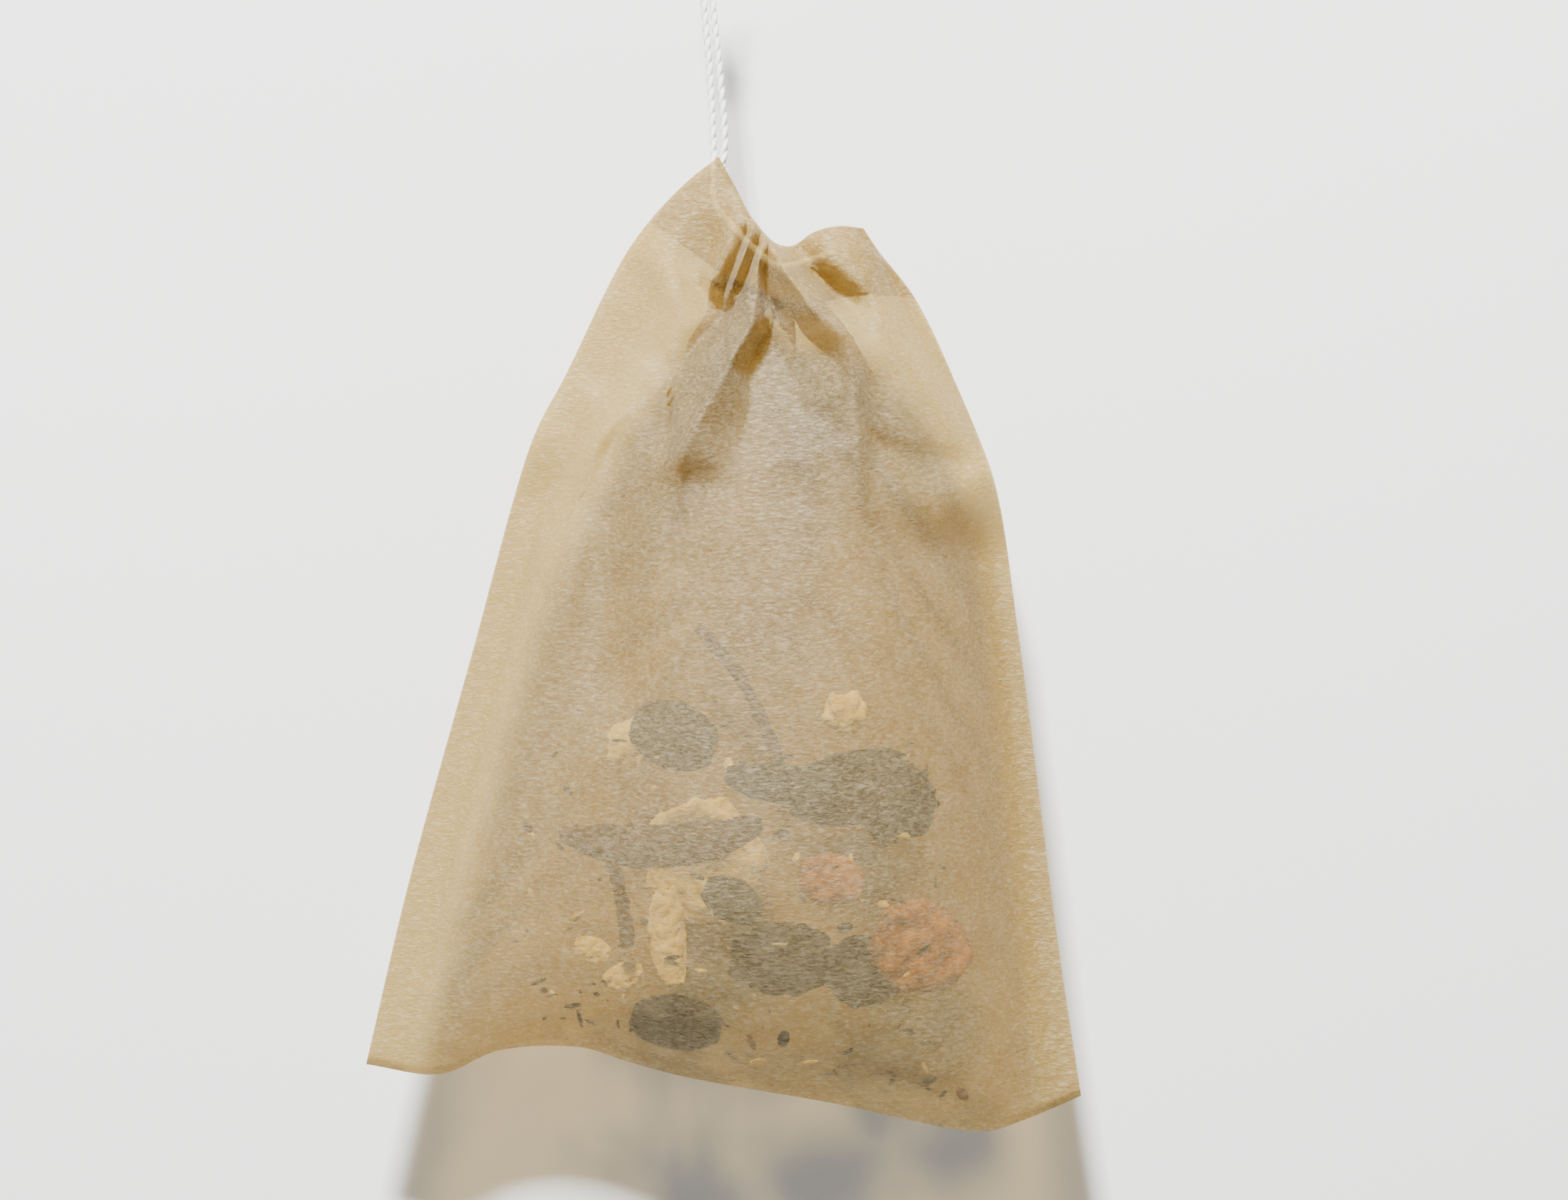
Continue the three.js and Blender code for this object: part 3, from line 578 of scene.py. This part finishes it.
def draw_to(places, loose, pair, rest, strength, only_push=False):
    """Moves the ends of a set of links until they are nearer their rest length."""
    first, second = pair
    gap = places[second] - places[first]
    length = np.linalg.norm(gap, axis=-1) + 1e-9
    error = (length - rest) / length
    if only_push:
        error = np.minimum(error, 0)
    share = loose[first] + loose[second] + 1e-9
    move = (strength * error / share)[..., None] * gap
    places[first] += move * loose[first][..., None]
    places[second] -= move * loose[second][..., None]


def settled(hung, height, side, loose):
    """Lets the loose part of the sheet buckle; all four are grids over the sheet."""
    shape = height.shape
    cell = (sheet_length / (shape[0] - 1), FLAT_WIDTH / (shape[1] - 1))
    give = np.interp(height, *zip(*GIVE))
    push = side * np.interp(height, *zip(*PUSH)) * loose
    stray = np.interp(height, *zip(*STRAY))
    rest = []
    for axis, share in ((0, 0.7), (1, 1.0)):
        now = smoothed(np.linalg.norm(np.diff(hung, axis=axis), axis=-1), width=9)
        nearer = (give[1:] + give[:-1]) / 2 if axis == 0 else (give[:, 1:] + give[:, :-1]) / 2
        rest.append(now + (cell[axis] - now) * nearer * share)
    down, over = rest
    links = [(pair, over[:, pair[0][1]], ALONG_STRENGTH, False) for pair in link_sets(shape, 0, 1)]
    links += [(pair, down[pair[0][0]], ALONG_STRENGTH, False) for pair in link_sets(shape, 1, 0)]
    for pair in link_sets(shape, 1, 1) + link_sets(shape, 1, -1):
        slant = np.hypot(over[pair[0][0]], down[pair[0][0], :-1])
        links.append((pair, slant, SLANT_STRENGTH, False))
    firmness = 1 - ease(*LIMP_FROM, height)
    for reach, least, strength in STIFFNESS:
        for pair in link_sets(shape, 0, reach):
            start = np.arange(shape[1])[pair[0][1]]
            length = sum(over[:, start + k] for k in range(reach))
            firm = strength * np.minimum(firmness[pair[0]], firmness[pair[1]])
            links.append((pair, length * least, firm, True))
        for pair in link_sets(shape, reach, 0):
            start = np.arange(shape[0])[pair[0][0]]
            length = sum(down[start + k] for k in range(reach))
            firm = strength * np.minimum(firmness[pair[0]], firmness[pair[1]])
            links.append((pair, length * least, firm, True))
    places, before = hung.copy(), hung.copy()
    for _ in range(SETTLING_ROUNDS):
        speed = KEPT_SPEED * (places - before) * loose[..., None]
        before = places.copy()
        places += speed
        places[..., 1] += push
        for pair, length, strength, only_push in links:
            draw_to(places, loose, pair, length, strength, only_push)
        crossed = side * places[..., 1] < FACES_APART
        places[..., 1] += crossed * (side * FACES_APART - places[..., 1]) * loose
        strayed = places - hung
        far = np.linalg.norm(strayed, axis=-1) + 1e-9
        places = hung + strayed * np.minimum(1, stray / far)[..., None]
    return places


sheet_shape, sheet_rows = sheet_grid()
sheet_length = 2 * (HEM_DEPTH + FLAT_HEIGHT)
across = np.array([vert.co.x + 0.5 for vert in sheet_shape.verts])
along = np.array([vert.co.y + 0.5 for vert in sheet_shape.verts]) * sheet_length
in_order = np.lexsort((across.round(5), along.round(5)))
grid_shape = (sheet_rows + 1, COLUMNS + 1)
across, along = across[in_order].reshape(grid_shape), along[in_order].reshape(grid_shape)
places = hung_place(across, along)
side = np.where(along < sheet_length / 2, -1, 1)
from_fold = np.abs(along - sheet_length / 2)
off_seam = np.minimum(across, 1 - across) * FLAT_WIDTH
height = 1 - np.abs(FLAT_HEIGHT - from_fold) / FLAT_HEIGHT
# Held still while the back settles: the seams, the hem, the bottom fold and the whole front.
on_front = (side < 0) * 1.0
held = np.maximum.reduce([
    1 - ease(SEAM_WIDTH * 0.7, SEAM_WIDTH * 1.3, off_seam),
    ease(FLAT_HEIGHT - HEM_DEPTH * 1.1, FLAT_HEIGHT - HEM_DEPTH * 0.4, from_fold),
    1 - ease(0.3, 1.2, from_fold),
    on_front,
])
places = settled(places, height, side, 1 - held)
sheet_shape.verts.ensure_lookup_table()
for index, place in zip(in_order, places.reshape(-1, 3)):
    sheet_shape.verts[index].co = place
bmesh.ops.recalc_face_normals(sheet_shape, faces=sheet_shape.faces)
bag = finished("paper_bag", sheet_shape, filter_paper())
sealed = bag.data.attributes.new("sealed", "FLOAT", "POINT")
in_seam = 1 - ease(SEAM_WIDTH * 0.92, SEAM_WIDTH * 1.15, off_seam)
in_hem = ease(FLAT_HEIGHT - HEM_DEPTH * 1.02, FLAT_HEIGHT - HEM_DEPTH * 0.95, from_fold)
sealed_share = np.zeros(in_order.size)
sealed_share[in_order] = np.maximum(in_seam, in_hem).ravel()
sealed.data.foreach_set("value", sealed_share)
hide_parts("filter_paper_bag")
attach(bag, "root")


# The filling is dried tea: broken leaves, two kinds of berry, petals and small flower heads, pieces
# of peel, a strip of bark and stalks. Each shrank and wrinkled as it dried, and it lies loose.
WRINKLE_CUTS = 5
ROUNDING_PASSES = 3
# The skin is drawn in everywhere but on its ridges, so that no piece outgrows its place.
RIDGE = 0.6


def wrinkled(node, size, depth, material):
    """Gives a piece of the filling the wrinkles of its kind, size and depth in millimetres."""
    shape = bmesh.new()
    shape.from_mesh(bpy.data.objects[node].data)
    bmesh.ops.scale(shape, vec=(1 / MM, 1 / MM, 1 / MM), verts=shape.verts)
    bmesh.ops.remove_doubles(shape, verts=shape.verts, dist=0.01)
    bmesh.ops.subdivide_edges(shape, edges=shape.edges, cuts=WRINKLE_CUTS, use_grid_fill=True)
    for _ in range(ROUNDING_PASSES):
        bmesh.ops.smooth_vert(shape, verts=shape.verts, factor=0.5, use_axis_x=True,
                              use_axis_y=True, use_axis_z=True)
    shape.normal_update()
    for vert in shape.verts:
        rough = min(RIDGE, noise.fractal(vert.co / size, 1.0, 2.0, 4))
        vert.co += vert.normal * depth * (rough - RIDGE)
    made = finished("dried_" + node, shape, material)
    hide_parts(node)
    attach(made, "root")
    return made


def dried(name, dark, light, patch, roughness, bump_depth):
    """A dried plant finish: two tones in patches of a given size in millimetres, and a rough skin."""
    finish = new_material(name)
    place = add_node(finish, "ShaderNodeTexCoord").outputs["Object"]
    patches = add_node(finish, "ShaderNodeTexNoise", links={
        "Vector": place, "Scale": 1 / (patch * MM), "Detail": 5.0, "Roughness": 0.7}).outputs["Fac"]
    share = add_node(finish, "ShaderNodeMapRange", links={
        "Value": patches, "From Min": 0.35, "From Max": 0.65}).outputs["Result"]
    colour = add_node(finish, "ShaderNodeMix", {"data_type": "RGBA"}, {
        "Factor": share, 6: linear(dark), 7: linear(light)}).outputs[2]
    skin = add_node(finish, "ShaderNodeTexNoise", links={
        "Vector": place, "Scale": 1 / (0.3 * MM), "Detail": 4.0}).outputs["Fac"]
    bump = add_node(finish, "ShaderNodeBump", links={
        "Strength": 0.8, "Distance": bump_depth * MM, "Height": skin}).outputs["Normal"]
    shader = add_node(finish, "ShaderNodeBsdfPrincipled", links={
        "Base Color": colour, "Roughness": roughness, "Normal": bump}).outputs["BSDF"]
    give_surface(finish, shader)
    return finish


# Rolled leaf, almost black where it was rolled tight; berries, dark and wrinkled with a dull skin;
# petals, pale cream and papery; peel, orange with pitted skin; bark and stalks, brown and fibrous.
leaf = dried("rolled_tea_leaf", "#070704", "#1c1a10", 1.6, 0.75, 0.08)
berry = dried("dried_berry_skin", "#060403", "#1e130c", 1.2, 0.6, 0.1)
petal = dried("dried_petal", "#cdb058", "#fbeeb4", 1.4, 0.85, 0.05)
peel = dried("dried_citrus_peel", "#7c4512", "#c08a3c", 1.8, 0.7, 0.1)
stalk = dried("dried_bark_and_stalk", "#241407", "#5e4020", 1.5, 0.85, 0.08)
for number in range(1, 6):
    wrinkled(f"leaf_piece_{number}", 1.5, 0.5, leaf)
for number in range(1, 4):
    wrinkled(f"berry_{number}", 1.1, 0.5, berry)
for name in ("petal_1", "petal_2", "petal_3", "flower_bud_1", "flower_bud_2", "flower_head"):
    wrinkled(name, 1.2, 0.35, petal)
for name in ("peel_1", "peel_2"):
    wrinkled(name, 1.6, 0.5, peel)
for name in ("bark_strip", "stalk_1", "stalk_2"):
    wrinkled(name, 1.3, 0.3, stalk)

# Crumbs of leaf, petal and stalk that broke off in the bag and settled between the larger pieces.
# Each kind has its count, its finish and its slot.
CRUMBS = {"leaf": (110, leaf, "dried_leaf"), "petal": (46, petal, "dried_petal"),
          "stalk": (44, stalk, "dried_stalk")}
CRUMB_SIZE = (0.5, 2.0)
CRUMB_CLEARANCE = 1.2


def crumbs(kind, count, material, chance):
    """Flat crumbs of one kind, scattered in the lower part of the bag."""
    panels = ((FRONT_CREASES, FRONT_BULGE), (BACK_CREASES, BACK_BULGE))
    shape = bmesh.new()
    for _ in range(count):
        s = chance.uniform(0.16, 0.84)
        v = 0.03 + 0.36 * chance.random() ** 1.5
        depths = [inside_depth(np.array(s), np.array(v), creases, bulge) - CRUMB_CLEARANCE
                  for creases, bulge in panels]
        out = chance.uniform(-depths[0], depths[1])
        at = seen_at(np.array(s), np.array(v))
        size = chance.uniform(*CRUMB_SIZE) * 0.5
        turn = Matrix.Rotation(chance.uniform(0, 2 * math.pi), 4, Vector(chance.normal(size=3)))
        flat = Matrix.Diagonal((size, size * chance.uniform(0.3, 0.8), size * 0.2, 1))
        place = Matrix.Translation((at[0], out, at[2])) @ turn @ flat
        bmesh.ops.create_icosphere(shape, subdivisions=1, radius=1, matrix=place)
    made = finished(f"tea_crumbs_{kind}", shape, material, smooth=False)
    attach(made, "root")


chance = np.random.default_rng(7)
for kind, (count, material, slot) in CRUMBS.items():
    crumbs(kind, count, material, chance)


# The stage, which isn't part of the object: a pale painted backdrop close behind the bag, a floor
# of the same paint well below it, and soft light. Sizes in millimetres.
BACKDROP_BEHIND = 12
FLOOR_BELOW = 600
STAGE_REACH = 600


# Matt emulsion paint, rolled on: even and without gloss. It shows from its front only, so that
# the bag can be looked at from behind too.
def matt_paint():
    wall_paint = new_material("matt_wall_paint")
    face = add_node(wall_paint, "ShaderNodeBsdfPrincipled", links={
        "Base Color": linear("#e9e9e7"), "Roughness": 0.9}).outputs["BSDF"]
    clear = add_node(wall_paint, "ShaderNodeBsdfTransparent").outputs["BSDF"]
    behind = add_node(wall_paint, "ShaderNodeNewGeometry").outputs["Backfacing"]
    give_surface(wall_paint, add_node(wall_paint, "ShaderNodeMixShader", links={
        "Fac": behind, 1: face, 2: clear}).outputs["Shader"])
    return wall_paint


paint = matt_paint()


def painted_sheet(name, tilt, place):
    """A flat sheet of the stage: level when tilt is 0 degrees, upright at 90."""
    shape = bmesh.new()
    bmesh.ops.create_grid(shape, x_segments=1, y_segments=1, size=STAGE_REACH)
    bmesh.ops.rotate(shape, verts=shape.verts, matrix=Matrix.Rotation(math.radians(tilt), 3, "X"))
    bmesh.ops.translate(shape, verts=shape.verts, vec=place)
    finished(name, shape, paint, smooth=False)


painted_sheet("wall", 90, (0, BACKDROP_BEHIND, 0))
painted_sheet("floor", 0, (0, 0, -FLOOR_BELOW))


# One small softbox above and in front gives the folds their highlights and the shadow below the
# bag; a weak broad light from behind glows through the paper. Metres and watts.
AIM = Vector((0, 0, -0.06))


def softbox(name, place, size, power):
    light = bpy.data.lights.new(name, "AREA")
    light.size = size
    light.energy = power
    lamp = bpy.data.objects.new(name, light)
    lamp.location = place
    lamp.rotation_euler = (AIM - lamp.location).to_track_quat("-Z", "Y").to_euler()
    bpy.context.collection.objects.link(lamp)


softbox("overhead_softbox", place=(-0.08, -0.46, 0.46), size=0.1, power=26)
softbox("back_fill", place=(0.1, 0.6, 0.1), size=0.5, power=2.5)

# The room gives little light, so that the folds keep their shadows, but it looks pale where the
# camera sees it, beside and behind the backdrop.
ROOM_LIGHT = 0.08
SEEN_ROOM = 0.75
sky = bpy.data.worlds.new("room_light")
sky.use_nodes = True
room = sky.node_tree.nodes["Background"]
room.inputs["Color"].default_value = (1, 1, 1, 1)
seen = sky.node_tree.nodes.new("ShaderNodeLightPath").outputs["Is Camera Ray"]
level = sky.node_tree.nodes.new("ShaderNodeMapRange")
level.inputs["To Min"].default_value = ROOM_LIGHT
level.inputs["To Max"].default_value = SEEN_ROOM
sky.node_tree.links.new(seen, level.inputs["Value"])
sky.node_tree.links.new(level.outputs["Result"], room.inputs["Strength"])
bpy.context.scene.world = sky
